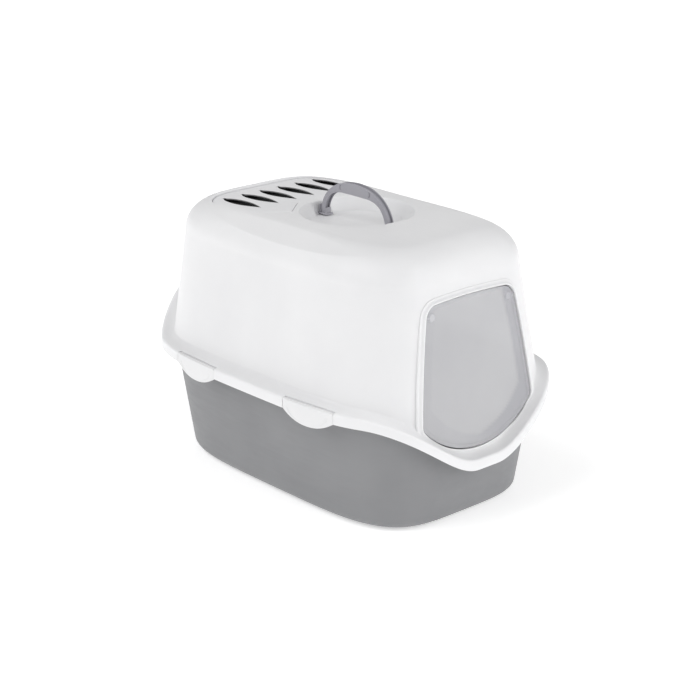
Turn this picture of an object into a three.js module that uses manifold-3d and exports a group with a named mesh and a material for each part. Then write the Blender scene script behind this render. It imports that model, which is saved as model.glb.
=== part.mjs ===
// Hooded cat litter box: a tray, a lift-off hood with four rim clips, a swinging cat door,
// a folding carry handle, and a slotted cover over a filter pad.
// Millimetres, +Z up. The door faces -Y, the long sides face -X and +X.
// The origin is on the floor, under the centre of the box.
import * as THREE from 'three';
import { mergeVertices } from 'three/addons/utils/BufferGeometryUtils.js';
import Module from 'manifold-3d';

const wasm = await Module();
wasm.setup();

// ---------------------------------------------------------------- driving dimensions

const AROUND = 48; // points in each ring around the box
const WALL = 3; // moulded wall thickness
const GAP = 0.4; // clearance between pieces that touch

// The rim line: the lower edge of the hood's skirt. It dips under the door and rises at the back.
const RIM = {
  halfWidth: 199,
  halfLength: 280,
  power: 3.72,
  height: 162.5,
  frontDip: 79.5,
  frontEnd: 0.86, // radians round from the middle of the front
  frontSpan: 0.77,
  rearRise: 67,
  rearStart: 2.31,
  rearSpan: 0.5,
};

const SKIRT = {
  height: 16,
  shelfRise: 7, // from the skirt's top edge to the foot of the hood wall
  cornerInset: 9, // thickened inside corner that carries the clip pins
};

const TRAY = {
  halfWidth: 150,
  halfLength: 240,
  power: 4.2,
  draft: 0.13, // outward lean of the wall, mm per mm of height
  footHeight: 2.5,
  bottomRound: 12,
  flangeTop: 9.8, // above the rim line
  flangeThickness: 3,
  flangeInset: 7.2, // from the outside of the skirt
};

// Four moulded pads under the tray.
const FOOT = {
  x: 92,
  y: 182,
  halfX: 20,
  halfY: 15,
  round: 8,
};

const HOOD = {
  power: 4.5,
  sideAtBase: 174, // half width at baseHeight
  rearAtBase: 256.7,
  frontAtBase: 251.2,
  baseHeight: 190,
  sideDraft: 0.17,
  rearDraft: 0.045,
  frontDraft: 0.1266,
  shoulderHeight: 338,
  shoulderSide: 48, // shoulder radius across
  shoulderFront: 44,
  shoulderRear: 50,
  shoulderRise: 47.5,
  crown: 1.5, // rise of the top from the shoulders to the dish
  frontFlat: 4, // depth of bulge that the flat front panel cuts off
};

const DISH = {
  y: -14,
  rimRadius: 81,
  floorRadius: 73.5,
  floorHeight: 368,
};

// Door opening, in the plane of the front panel: x across, v up the panel from the lower corners.
const DOOR = {
  y: -255.6,
  z: 155,
  lean: Math.atan(0.1266),
  topHalf: 81,
  bottomHalf: 105,
  height: 159,
  sag: 48, // depth of the round bottom below the lower corners
  topRound: 20,
  bottomRound: 9,
  beadWidth: 9,
  beadFront: 3,
  beadBack: -4.5,
  hingeV: 146,
  pinRadius: 2,
};

const FLAP = {
  gap: 1.45,
  back: -2,
  front: 0.5,
  borderWidth: 5,
  borderFront: 1.1,
  borderBack: -2.6,
};

const CLIP = {
  rear: [65, 157], // y of its two ends
  front: [-175, -83],
  axisInset: 3, // hinge axis from the outside of the skirt
  axisHeight: 12.8, // hinge axis above the rim line
  barrelRadius: 2.8,
  pinRadius: 1.1,
  pinLength: 3,
  thickness: 3,
  tongueHalf: 45.5,
  tongueDrop: 14.5,
  notchDepth: 7.2,
};

const HANDLE = {
  axisHeight: 376,
  webThickness: 6,
  flangeThickness: 10,
  flangeDepth: 3.5,
  gripHalf: 30,
  footRadius: 6,
  pinRadius: 2.5,
};
// Half of the handle's outline: [distance from the middle, height above the axis].
const HANDLE_OUTER = [[70, 0], [69.2, 8], [64.5, 19], [56, 30], [45, 38.5], [34, 44], [20, 47.8], [0, 49.5]];
const HANDLE_INNER = [[62, 0], [61, 5], [57, 12], [50, 21], [41, 27.5], [30, 31], [16, 32], [0, 32]];

// Vent cover outline in plan, right half from the front middle to the rear middle.
const COVER = {
  corners: [ // x, y and corner radius
    [30, 77, 16],
    [72, 42, 8],
    [113, 80, 22],
    [113, 202, 48],
  ],
  tilt: -1.3, // degrees that it falls towards the back, from pivotY
  pivotY: 40,
  thickness: 2.6,
  ledge: 4,
};

const SLOT = {
  count: 6,
  frontPitch: 33.6,
  rearPitch: 33.9, // the slots fan out slightly
  frontY: 95,
  rearY: 178,
  half: 10.6,
  stemHalf: 2.6,
};

const POCKET = {
  floorTop: 364,
  floorThickness: 2.5,
};

const FILTER = {
  thickness: 12,
  inset: 1,
};

// ---------------------------------------------------------------- solids and lofts

function toSolid(geometry) {
  const bare = geometry.clone();
  bare.deleteAttribute('normal');
  bare.deleteAttribute('uv');
  const merged = mergeVertices(bare, 1e-4);
  const mesh = new wasm.Mesh({
    numProp: 3,
    vertProperties: new Float32Array(merged.attributes.position.array),
    triVerts: new Uint32Array(merged.index.array),
  });
  return new wasm.Manifold(mesh);
}

function toGeometry(solid) {
  const mesh = solid.getMesh();
  const geometry = new THREE.BufferGeometry();
  geometry.setAttribute('position', new THREE.BufferAttribute(new Float32Array(mesh.vertProperties), 3));
  geometry.setIndex(new THREE.BufferAttribute(new Uint32Array(mesh.triVerts), 1));
  const flat = geometry.toNonIndexed();
  flat.computeVertexNormals();
  return flat;
}

function volumeOf(points, faces) {
  let sum = 0;
  for (const [i, j, k] of faces) {
    const [a, b, c] = [points[i], points[j], points[k]];
    sum += a[0] * (b[1] * c[2] - b[2] * c[1]);
    sum += a[1] * (b[2] * c[0] - b[0] * c[2]);
    sum += a[2] * (b[0] * c[1] - b[1] * c[0]);
  }
  return sum / 6;
}

// Skins a row of closed rings of points and closes both ends on a pole point.
function loft(rings, startPole, endPole) {
  const count = rings[0].length;
  const points = rings.flat();
  const faces = [];
  for (let r = 0; r + 1 < rings.length; r++) {
    for (let i = 0; i < count; i++) {
      const j = (i + 1) % count;
      const [a, b] = [r * count + i, r * count + j];
      const [c, d] = [a + count, b + count];
      faces.push([a, b, d], [a, d, c]);
    }
  }
  const first = points.length;
  points.push(startPole, endPole);
  const lastRing = (rings.length - 1) * count;
  for (let i = 0; i < count; i++) {
    const j = (i + 1) % count;
    faces.push([first, j, i], [first + 1, lastRing + i, lastRing + j]);
  }
  if (volumeOf(points, faces) < 0) {
    faces.forEach((face) => face.reverse());
  }
  const geometry = new THREE.BufferGeometry();
  geometry.setAttribute('position', new THREE.Float32BufferAttribute(points.flat(), 3));
  geometry.setIndex(faces.flat());
  return toSolid(geometry);
}

function union(solids) {
  return solids.reduce((whole, solid) => whole.add(solid));
}

// Drops the specks that a cut along a shared edge can leave.
function largestPart(solid) {
  const parts = solid.decompose();
  return parts.reduce((best, part) => (part.volume() > best.volume() ? part : best));
}

// ---------------------------------------------------------------- outlines

// Moves each corner of a counter-clockwise loop outward by a distance.
function offsetLoop(loop, distance) {
  return loop.map((point, i) => {
    const before = loop[(i + loop.length - 1) % loop.length];
    const after = loop[(i + 1) % loop.length];
    const a = new THREE.Vector2(point[1] - before[1], before[0] - point[0]).normalize();
    const b = new THREE.Vector2(after[1] - point[1], point[0] - after[0]).normalize();
    const miter = a.clone().add(b);
    const scale = distance / (0.5 * miter.lengthSq());
    return [point[0] + miter.x * scale, point[1] + miter.y * scale];
  });
}

// Rounds the corners [x, y, radius] of a loop.
function roundLoop(corners, steps = 4) {
  const loop = [];
  corners.forEach(([x, y, radius], i) => {
    if (!radius) {
      loop.push([x, y]);
      return;
    }
    const [px, py] = corners[(i + corners.length - 1) % corners.length];
    const [nx, ny] = corners[(i + 1) % corners.length];
    const back = new THREE.Vector2(px - x, py - y).normalize();
    const ahead = new THREE.Vector2(nx - x, ny - y).normalize();
    const half = back.angleTo(ahead) / 2;
    const reach = radius / Math.tan(half);
    const centre = back.clone().add(ahead).normalize().multiplyScalar(radius / Math.sin(half));
    const from = back.clone().multiplyScalar(reach).sub(centre);
    const to = ahead.clone().multiplyScalar(reach).sub(centre);
    let turn = to.angle() - from.angle();
    turn = Math.atan2(Math.sin(turn), Math.cos(turn));
    for (let s = 0; s <= steps; s++) {
      const spoke = from.clone().rotateAround(new THREE.Vector2(), (turn * s) / steps);
      loop.push([x + centre.x + spoke.x, y + centre.y + spoke.y]);
    }
  });
  return loop;
}

function shapeOf(loop, holes = []) {
  const shape = new THREE.Shape(loop.map(([x, y]) => new THREE.Vector2(x, y)));
  for (const hole of holes) {
    shape.holes.push(new THREE.Path(hole.map(([x, y]) => new THREE.Vector2(x, y))));
  }
  return shape;
}

// A straight prism on an outline in plan.
function prism(loop, bottom, top, holes = []) {
  const geometry = new THREE.ExtrudeGeometry(shapeOf(loop, holes), { depth: top - bottom, bevelEnabled: false });
  geometry.translate(0, 0, bottom);
  return toSolid(geometry);
}

function smooth(t) {
  const u = Math.min(Math.max(t, 0), 1);
  return u * u * (3 - 2 * u);
}

function mix(a, b, t) {
  return a + (b - a) * t;
}

// ---------------------------------------------------------------- plan rings

const angles = Array.from({ length: AROUND }, (_, i) => ((i + 0.5) / AROUND) * 2 * Math.PI);

function superellipse(angle, halfX, front, rear, power) {
  const c = Math.cos(angle);
  const s = Math.sin(angle);
  const k = (Math.abs(c) ** power + Math.abs(s) ** power) ** (-1 / power);
  return [halfX * c * k, (s < 0 ? front : rear) * s * k];
}

function rimHeight(angle) {
  const fromFront = Math.abs(THREE.MathUtils.euclideanModulo(angle + 1.5 * Math.PI, 2 * Math.PI) - Math.PI);
  const dip = RIM.frontDip * smooth((RIM.frontEnd - fromFront) / RIM.frontSpan);
  const rise = RIM.rearRise * smooth((fromFront - RIM.rearStart) / RIM.rearSpan);
  return RIM.height - dip + rise;
}

// A ring parallel to the rim line.
function rimRing(inset, above) {
  return angles.map((angle) => {
    const [x, y] = superellipse(
      angle, RIM.halfWidth - inset, RIM.halfLength - inset, RIM.halfLength - inset, RIM.power,
    );
    return [x, y, rimHeight(angle) + above];
  });
}

// ---------------------------------------------------------------- tray

function trayPoint(angle, height, inset) {
  const lean = TRAY.draft * height - inset;
  const [x, y] = superellipse(
    angle, TRAY.halfWidth + lean, TRAY.halfLength + lean, TRAY.halfLength + lean, TRAY.power,
  );
  return [x, y, height];
}

function trayRing(height, inset) {
  return angles.map((angle) => trayPoint(angle, height, inset));
}

// The wall between the bottom round and the flange, cut into bands that follow the rim.
function trayWall(inset, below, fractions) {
  return fractions.map((t) => angles.map((angle) => {
    const top = rimHeight(angle) + below;
    return trayPoint(angle, mix(30, top, t), inset);
  }));
}

function buildTray() {
  const under = TRAY.footHeight;
  const floor = under + WALL;
  const round = TRAY.bottomRound;
  const flange = TRAY.flangeTop - TRAY.flangeThickness;
  const outside = [
    trayRing(under, round),
    trayRing(under + 1.6, round * 0.5),
    trayRing(under + round * 0.45, round * 0.12),
    trayRing(under + round, 0),
    ...trayWall(0, flange - 5, [0, 0.5, 1]),
    ...trayWall(-2, flange, [1]),
    rimRing(TRAY.flangeInset, flange),
  ];
  const inside = [
    rimRing(TRAY.flangeInset, TRAY.flangeTop),
    ...trayWall(WALL, TRAY.flangeTop, [1, 0.5, 0]),
    trayRing(floor + round, WALL),
    trayRing(floor + round * 0.4, WALL + round * 0.2),
    trayRing(floor, WALL + round),
  ];
  let tray = loft([...outside, ...inside], [0, 0, under], [0, 0, floor]);
  for (const side of [-1, 1]) {
    for (const end of [-1, 1]) {
      const [x, y] = [side * FOOT.x, end * FOOT.y];
      const pad = roundLoop([
        [x - FOOT.halfX, y - FOOT.halfY, FOOT.round],
        [x + FOOT.halfX, y - FOOT.halfY, FOOT.round],
        [x + FOOT.halfX, y + FOOT.halfY, FOOT.round],
        [x - FOOT.halfX, y + FOOT.halfY, FOOT.round],
      ]);
      tray = tray.add(prism(pad, 0, under + 1));
    }
  }
  return tray;
}

// ---------------------------------------------------------------- hood surface

// Flattens the front of a ring to the door panel, with a soft edge.
function flattenFront(y, front) {
  const soft = 3;
  const start = front - HOOD.frontFlat - soft;
  const over = -y - start;
  return over > 0 ? -(start + soft * (1 - Math.exp(-over / soft))) : y;
}

function hoodPlan(angle, half, front, rear, power = HOOD.power) {
  const [x, y] = superellipse(angle, half, front, rear, power);
  return [x, flattenFront(y, front)];
}

function wallPoint(angle, height, inset) {
  const up = height - HOOD.baseHeight;
  const half = HOOD.sideAtBase - HOOD.sideDraft * up - inset;
  const front = HOOD.frontAtBase + HOOD.frontFlat - HOOD.frontDraft * up - inset;
  const rear = HOOD.rearAtBase - HOOD.rearDraft * up - inset;
  return [...hoodPlan(angle, half, front, rear), height];
}

// Rings of the hood from the skirt up to the shoulder; fractions climb the wall.
function wallRings(inset, above, fractions) {
  return fractions.map((t) => angles.map((angle) => {
    const foot = rimHeight(angle) + above;
    return wallPoint(angle, mix(foot, HOOD.shoulderHeight, t), inset);
  }));
}

// A ring on the shoulder; turn goes from 0 at the wall to a right angle at the top.
function shoulderRing(turn, inset) {
  const up = HOOD.shoulderHeight - HOOD.baseHeight;
  const pull = 1 - Math.cos(turn);
  const half = HOOD.sideAtBase - HOOD.sideDraft * up - HOOD.shoulderSide * pull - inset * Math.cos(turn);
  const front = HOOD.frontAtBase + HOOD.frontFlat - HOOD.frontDraft * up
    - HOOD.shoulderFront * pull - inset * Math.cos(turn);
  const rear = HOOD.rearAtBase - HOOD.rearDraft * up - HOOD.shoulderRear * pull - inset * Math.cos(turn);
  const height = HOOD.shoulderHeight + HOOD.shoulderRise * Math.sin(turn) - inset * Math.sin(turn);
  return angles.map((angle) => [...hoodPlan(angle, half, front, rear), height]);
}

function dishRing(radius, height) {
  return angles.map((angle) => [radius * Math.cos(angle), DISH.y + radius * Math.sin(angle), height]);
}

function blendRings(from, to, t, lift) {
  return from.map((point, i) => [
    mix(point[0], to[i][0], t),
    mix(point[1], to[i][1], t),
    mix(point[2], to[i][2], t) + lift,
  ]);
}

const topHeight = HOOD.shoulderHeight + HOOD.shoulderRise + HOOD.crown;
const shoulderTurns = [18, 36, 54, 72, 90].map(THREE.MathUtils.degToRad);
const innerTurns = [30, 60, 90].map(THREE.MathUtils.degToRad);

// The top, the dish wall and the dish floor, from the shoulder inward.
function topRings(inset) {
  const edge = shoulderRing(Math.PI / 2, inset);
  const lip = dishRing(DISH.rimRadius + inset * 0.6, topHeight - inset);
  return [
    blendRings(edge, lip, 0.5, 0.5),
    lip,
    dishRing(DISH.rimRadius - 2.5 + inset * 0.8, topHeight - 1.5 - inset),
    dishRing(DISH.rimRadius - 4.5 + inset, topHeight - 5 - inset * 0.7),
    dishRing(DISH.floorRadius + 1 + inset, DISH.floorHeight + 5 - inset * 0.7),
    dishRing(DISH.floorRadius - 3.5 + inset * 0.7, DISH.floorHeight - inset),
  ];
}

function hoodOuterRings() {
  const top = SKIRT.height;
  const foot = top + SKIRT.shelfRise;
  return [
    rimRing(0, 0),
    rimRing(0, top - 3),
    rimRing(1, top - 0.9),
    rimRing(3.5, top),
    ...wallRings(-7, top + 1.6, [0]),
    ...wallRings(-2, foot - 2.6, [0]),
    ...wallRings(0, foot + 1.5, [0, 0.5, 1]),
    ...shoulderTurns.map((turn) => shoulderRing(turn, 0)),
    ...topRings(0),
  ];
}

function hoodInnerRings() {
  const top = SKIRT.height;
  const foot = top + SKIRT.shelfRise;
  return [
    rimRing(WALL, 0),
    rimRing(WALL, top - 7),
    rimRing(SKIRT.cornerInset, top - 2.8),
    ...wallRings(WALL - 5, top - 1.4, [0]),
    ...wallRings(WALL, foot - 1.5, [0, 1]),
    ...innerTurns.map((turn) => shoulderRing(turn, WALL)),
    ...topRings(WALL),
  ];
}

// The room that the tray's flange takes up under the shelf.
function flangeRoom() {
  const rings = [
    rimRing(WALL, -40),
    rimRing(WALL, SKIRT.height - 7.5),
    rimRing(SKIRT.cornerInset, SKIRT.height - 3.3),
    ...wallRings(4 * WALL, SKIRT.height - 1.9, [0]),
  ];
  return loft(rings, [0, 0, 40], [0, 0, 150]);
}

const dishTop = [0, DISH.y, DISH.floorHeight + 0.6];
const dishUnder = [0, DISH.y, DISH.floorHeight + 0.6 - WALL];
const hoodEnvelope = loft(hoodOuterRings(), [0, 0, 120], dishTop);

// ---------------------------------------------------------------- door opening and flap

function doorLoop() {
  const radius = (DOOR.bottomHalf ** 2 + DOOR.sag ** 2) / (2 * DOOR.sag);
  const swing = Math.asin(DOOR.bottomHalf / radius);
  const corners = [];
  const steps = 10;
  for (let i = 0; i <= steps; i++) {
    const angle = mix(-swing, swing, i / steps);
    const atEnd = i === 0 || i === steps;
    corners.push([
      radius * Math.sin(angle),
      radius - DOOR.sag - radius * Math.cos(angle),
      atEnd ? DOOR.bottomRound : 0,
    ]);
  }
  corners.push([DOOR.topHalf, DOOR.height, DOOR.topRound], [-DOOR.topHalf, DOOR.height, DOOR.topRound]);
  return roundLoop(corners);
}

// From the door panel's own axes (x, up the panel, outward) to the box.
const doorPlacement = new THREE.Matrix4()
  .makeTranslation(0, DOOR.y, DOOR.z)
  .multiply(new THREE.Matrix4().makeRotationX(Math.PI / 2 - DOOR.lean));

function onDoor(geometry) {
  return toSolid(geometry.applyMatrix4(doorPlacement));
}

function doorPlate(loop, back, front, holes = [], bevel = 0) {
  const geometry = new THREE.ExtrudeGeometry(shapeOf(loop, holes), {
    depth: front - back - 2 * bevel,
    bevelEnabled: bevel > 0,
    bevelThickness: bevel,
    bevelSize: bevel,
    bevelOffset: -bevel,
    bevelSegments: 2,
  });
  geometry.translate(0, 0, back + bevel);
  return onDoor(geometry);
}

function doorPin(side, radius, from, to) {
  const pin = new THREE.CylinderGeometry(radius, radius, to - from, 16);
  pin.rotateZ(Math.PI / 2);
  pin.translate(side * (from + to) / 2, DOOR.hingeV, (FLAP.back + FLAP.front) / 2);
  return onDoor(pin);
}

function buildFlap() {
  const edge = offsetLoop(doorLoop(), -FLAP.gap);
  const inner = offsetLoop(edge, -FLAP.borderWidth);
  const parts = [
    doorPlate(edge, FLAP.back, FLAP.front),
    doorPlate(edge, FLAP.borderBack, FLAP.borderFront, [inner]),
  ];
  for (const side of [-1, 1]) {
    const boss = new THREE.CylinderGeometry(5.5, 5.5, FLAP.borderFront - FLAP.borderBack + 1.2, 20);
    boss.rotateX(Math.PI / 2);
    boss.translate(side * 72, DOOR.hingeV, (FLAP.borderFront + FLAP.borderBack) / 2);
    parts.push(onDoor(boss));
    parts.push(doorPin(side, DOOR.pinRadius, 72, 86));
  }
  return union(parts);
}

// ---------------------------------------------------------------- rim clips

// Where a clip sits on the rim: the chord between its ends, with the outward direction.
function clipSeat(side, [from, to]) {
  const ends = [from, to].map((y) => {
    const x = RIM.halfWidth * (1 - Math.abs(y / RIM.halfLength) ** RIM.power) ** (1 / RIM.power);
    return new THREE.Vector2(side * x, y);
  });
  const middle = ends[0].clone().add(ends[1]).multiplyScalar(0.5);
  const chord = ends[1].clone().sub(ends[0]);
  const half = chord.length() / 2;
  const y = middle.y;
  const bulge = RIM.halfWidth * (1 - Math.abs(y / RIM.halfLength) ** RIM.power) ** (1 / RIM.power)
    - Math.abs(middle.x);
  // Local x runs along the chord and local -y points out of the box.
  const turn = side < 0 ? chord.angle() + Math.PI : chord.angle();
  return { middle, half, bulge, turn };
}

function seatMatrix(seat) {
  return new THREE.Matrix4()
    .makeTranslation(seat.middle.x, seat.middle.y, RIM.height)
    .multiply(new THREE.Matrix4().makeRotationZ(seat.turn));
}

function axisCylinder(radius, from, to, sides) {
  const cylinder = new THREE.CylinderGeometry(radius, radius, to - from, sides);
  cylinder.rotateZ(Math.PI / 2);
  cylinder.translate((from + to) / 2, CLIP.axisInset, CLIP.axisHeight);
  return cylinder;
}

// The clip in its own axes: x along the rim, -y outward, z up from the rim line.
function buildClip(seat) {
  const half = seat.half - GAP;
  const stations = [-1, -0.97, -0.9, -0.78, -0.6, -0.4, -0.2, 0];
  const all = [...stations, ...stations.slice(0, -1).reverse().map((s) => -s)];
  const rings = all.map((s) => {
    const x = s * half;
    const out = -seat.bulge * (1 - s * s);
    const inTongue = Math.max(1 - (x / CLIP.tongueHalf) ** 2, 0);
    const bottom = 0.4 - CLIP.tongueDrop * Math.sqrt(inTongue);
    const back = out + CLIP.thickness;
    return [
      [x, out, bottom + 0.8],
      [x, out, CLIP.axisHeight + 0.4],
      [x, Math.max(out + 1.1, out * 0.5 + 1), CLIP.axisHeight + 2.4],
      [x, CLIP.axisInset, CLIP.axisHeight + CLIP.barrelRadius - 0.4],
      [x, back, CLIP.axisHeight - 2],
      [x, back, bottom],
      [x, out + 0.8, bottom],
    ];
  });
  const centre = (ring) => [0, 1, 2].map((k) => ring.reduce((sum, p) => sum + p[k], 0) / ring.length);
  const plate = loft(rings, centre(rings[0]), centre(rings.at(-1)));
  const barrel = toSolid(axisCylinder(CLIP.barrelRadius, -half, half, 16));
  const reach = half + CLIP.pinLength;
  const pin = toSolid(axisCylinder(CLIP.pinRadius, -reach, reach, 10));
  return union([plate, barrel, pin]);
}

// What the hood gives up for a clip: the notch in the skirt and the two pin holes.
function clipCut(seat) {
  const notch = new THREE.BoxGeometry(2 * seat.half, CLIP.notchDepth + 20, 60);
  notch.translate(0, CLIP.notchDepth / 2 - 10, -8);
  const reach = seat.half + CLIP.pinLength + 0.4;
  const hole = axisCylinder(CLIP.pinRadius + 0.35, -reach, reach, 10);
  return [notch, hole].map((geometry) => toSolid(geometry.applyMatrix4(seatMatrix(seat))));
}

const seats = {
  clip_left_front: clipSeat(-1, CLIP.front),
  clip_left_rear: clipSeat(-1, CLIP.rear),
  clip_right_front: clipSeat(1, CLIP.front),
  clip_right_rear: clipSeat(1, CLIP.rear),
};

// ---------------------------------------------------------------- vent cover, pocket and filter

function coverLoop() {
  const right = COVER.corners;
  const left = right.map(([x, y, radius]) => [-x, y, radius]).reverse();
  return roundLoop([...right, ...left]);
}

// One leaf-shaped slot: a point at the front, widest in the middle, a short stem at the rear.
function slotLoop(index) {
  const place = index - (SLOT.count - 1) / 2;
  const steps = 7;
  const side = [];
  for (let i = 0; i <= steps; i++) {
    const t = i / steps;
    const leaf = SLOT.half * Math.sin(Math.PI * t ** 0.9) ** 0.85;
    const half = t > 0.85 ? Math.max(leaf, SLOT.stemHalf) : Math.max(leaf, 0.25);
    side.push([place * mix(SLOT.frontPitch, SLOT.rearPitch, t), half, mix(SLOT.frontY, SLOT.rearY, t)]);
  }
  const right = side.map(([x, half, y]) => [x + half, y]);
  const left = side.map(([x, half, y]) => [x - half, y]).reverse();
  return [...right, ...left];
}

// The hood's top, tilted down towards the back: the cover lies a little below the hood there.
function tiltedEnvelope(lower) {
  const tilt = new THREE.Matrix4()
    .makeTranslation(0, COVER.pivotY, topHeight - lower)
    .multiply(new THREE.Matrix4().makeRotationX(THREE.MathUtils.degToRad(COVER.tilt)))
    .multiply(new THREE.Matrix4().makeTranslation(0, -COVER.pivotY, -topHeight));
  return hoodEnvelope.transform(tilt.elements);
}

function buildCover() {
  const plan = offsetLoop(coverLoop(), -GAP);
  const skin = tiltedEnvelope(0).subtract(tiltedEnvelope(COVER.thickness));
  let cover = skin.intersect(prism(plan, 350, 420));
  for (let i = 0; i < SLOT.count; i++) {
    cover = cover.subtract(prism(slotLoop(i), 340, 430));
  }
  return cover;
}

function pocketLoop() {
  return offsetLoop(coverLoop(), -COVER.ledge);
}

function buildFilter() {
  const bottom = POCKET.floorTop + GAP;
  return prism(offsetLoop(pocketLoop(), -FILTER.inset), bottom, bottom + FILTER.thickness);
}

// The pocket's floor is a grille of long slots that lets the air through.
function grilleLoops() {
  const loops = [];
  for (let i = -4; i <= 4; i++) {
    const x = i * 20;
    const front = Math.abs(i) < 3 ? 92 : 68;
    loops.push([[x - 5, front], [x + 5, front], [x + 5, 172], [x - 5, 172]]);
  }
  return loops;
}

// ---------------------------------------------------------------- hood

function buildHood() {
  let hood = loft([...hoodOuterRings().reverse(), ...hoodInnerRings()], dishTop, dishUnder);

  const bottom = POCKET.floorTop - POCKET.floorThickness;
  const tub = prism(offsetLoop(coverLoop(), WALL), bottom, 420).intersect(hoodEnvelope);
  const seat = prism(coverLoop(), 350, 430).subtract(tiltedEnvelope(COVER.thickness + GAP));
  hood = hood.add(tub).subtract(seat);
  hood = hood.subtract(prism(pocketLoop(), POCKET.floorTop, 430));
  for (const loop of grilleLoops()) {
    hood = hood.subtract(prism(loop, bottom - 5, bottom + 10));
  }

  const opening = doorLoop();
  hood = hood.subtract(doorPlate(opening, -30, 30));
  const beadLoop = offsetLoop(opening, DOOR.beadWidth);
  const bead = doorPlate(beadLoop, DOOR.beadBack, DOOR.beadFront, [opening], 1.2);
  hood = hood.add(bead.subtract(flangeRoom()));
  hood = hood.subtract(doorPlate(opening, DOOR.beadBack - 2, DOOR.beadFront + 2));
  for (const side of [-1, 1]) {
    hood = hood.subtract(doorPin(side, DOOR.pinRadius + 0.4, 76, 86.5));
    hood = hood.subtract(handlePin(side, HANDLE.pinRadius + 0.4, 66, 82));
  }
  for (const seatOfClip of Object.values(seats)) {
    for (const cut of clipCut(seatOfClip)) {
      hood = hood.subtract(cut);
    }
  }
  return largestPart(hood);
}

// ---------------------------------------------------------------- carry handle

// A plate in the handle's plane: the outline is drawn in (y from the dish centre, height over the axis).
function handlePlate(loop, thickness) {
  const geometry = new THREE.ExtrudeGeometry(shapeOf(loop), { depth: thickness, bevelEnabled: false });
  geometry.translate(0, 0, -thickness / 2);
  geometry.rotateX(Math.PI / 2);
  geometry.rotateZ(Math.PI / 2);
  geometry.translate(0, DISH.y, HANDLE.axisHeight);
  return toSolid(geometry);
}

function handlePin(side, radius, from, to) {
  const pin = new THREE.CylinderGeometry(radius, radius, to - from, 16);
  pin.translate(0, DISH.y + side * (from + to) / 2, HANDLE.axisHeight);
  return toSolid(pin);
}

function smoothCurve(points, steps) {
  const curve = new THREE.CatmullRomCurve3(points.map(([x, y]) => new THREE.Vector3(x, y, 0)));
  return curve.getPoints(steps).map((p) => [p.x, p.y]);
}

function fullArch(half) {
  const other = half.slice(0, -1).reverse().map(([x, y]) => [-x, y]);
  return smoothCurve([...half, ...other], 36);
}

function buildHandle() {
  const outer = fullArch(HANDLE_OUTER);
  const inner = fullArch(HANDLE_INNER).reverse();
  const web = handlePlate([...outer, ...inner], HANDLE.webThickness);
  const shrink = outer.map(([x, y], i) => {
    const before = outer[Math.max(i - 1, 0)];
    const after = outer[Math.min(i + 1, outer.length - 1)];
    const along = new THREE.Vector2(after[0] - before[0], after[1] - before[1]).normalize();
    return [x - along.y * HANDLE.flangeDepth, y + along.x * HANDLE.flangeDepth];
  });
  const flange = handlePlate([...outer, ...shrink.reverse()], HANDLE.flangeThickness);
  const gripTop = outer.filter(([x]) => Math.abs(x) <= HANDLE.gripHalf);
  const gripLow = inner.filter(([x]) => Math.abs(x) <= HANDLE.gripHalf);
  const grip = handlePlate([...gripTop, ...gripLow], HANDLE.flangeThickness);
  const parts = [web, flange, grip];
  for (const side of [-1, 1]) {
    parts.push(handlePin(side, HANDLE.footRadius, 60, 71.5));
    parts.push(handlePin(side, HANDLE.pinRadius, 66, 78));
  }
  return union(parts);
}

// ---------------------------------------------------------------- the scene

const white = { color: 0xf2f2f4, roughness: 0.38, metalness: 0 };
const materials = {
  base_tray: { color: 0x8d8d90, roughness: 0.5, metalness: 0 },
  hood: white,
  clip: white,
  door_flap: { color: 0xb4b4ba, roughness: 0.15, metalness: 0, transparent: true, opacity: 0.6 },
  carry_handle: { color: 0x86858f, roughness: 0.45, metalness: 0 },
  vent_cover: white,
  carbon_filter: { color: 0x1b1b1d, roughness: 0.95, metalness: 0 },
};

const group = new THREE.Group();

function place(name, solid, look) {
  const mesh = new THREE.Mesh(toGeometry(solid), new THREE.MeshStandardMaterial(look));
  mesh.name = name;
  group.add(mesh);
  return mesh;
}

place('base_tray', buildTray(), materials.base_tray);
place('hood', buildHood(), materials.hood);
for (const [name, seat] of Object.entries(seats)) {
  const clip = place(name, buildClip(seat), materials.clip);
  clip.position.set(seat.middle.x, seat.middle.y, RIM.height);
  clip.rotation.z = seat.turn;
}
place('door_flap', buildFlap(), materials.door_flap);
place('carry_handle', buildHandle(), materials.carry_handle);
place('vent_cover', buildCover(), materials.vent_cover);
place('carbon_filter', buildFilter(), materials.carbon_filter);

export default group;
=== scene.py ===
"""Looks of the hooded cat litter box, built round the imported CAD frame.

Shapes are worked out in millimetres, in the CAD's own frame, and written to meshes in metres.
"""
import math

import bmesh
import bpy
import numpy as np
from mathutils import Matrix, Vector
from mathutils.bvhtree import BVHTree
from mathutils.geometry import delaunay_2d_cdt


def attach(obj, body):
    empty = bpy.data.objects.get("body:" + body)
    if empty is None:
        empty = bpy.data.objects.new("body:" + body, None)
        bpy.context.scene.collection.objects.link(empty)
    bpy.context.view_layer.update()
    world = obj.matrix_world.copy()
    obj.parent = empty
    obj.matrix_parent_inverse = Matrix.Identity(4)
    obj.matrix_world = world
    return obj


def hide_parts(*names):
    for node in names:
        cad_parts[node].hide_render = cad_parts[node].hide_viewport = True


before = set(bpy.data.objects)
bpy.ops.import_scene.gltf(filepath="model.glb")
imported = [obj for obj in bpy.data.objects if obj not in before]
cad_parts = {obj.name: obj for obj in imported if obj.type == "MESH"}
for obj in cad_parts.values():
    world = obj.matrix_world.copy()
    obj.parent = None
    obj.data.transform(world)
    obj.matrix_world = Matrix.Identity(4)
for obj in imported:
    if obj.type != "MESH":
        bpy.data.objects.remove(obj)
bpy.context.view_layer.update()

MM = 0.001
TAU = 2 * math.pi

# ------------------------------------------------------------------ dimensions, as in the CAD

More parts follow.
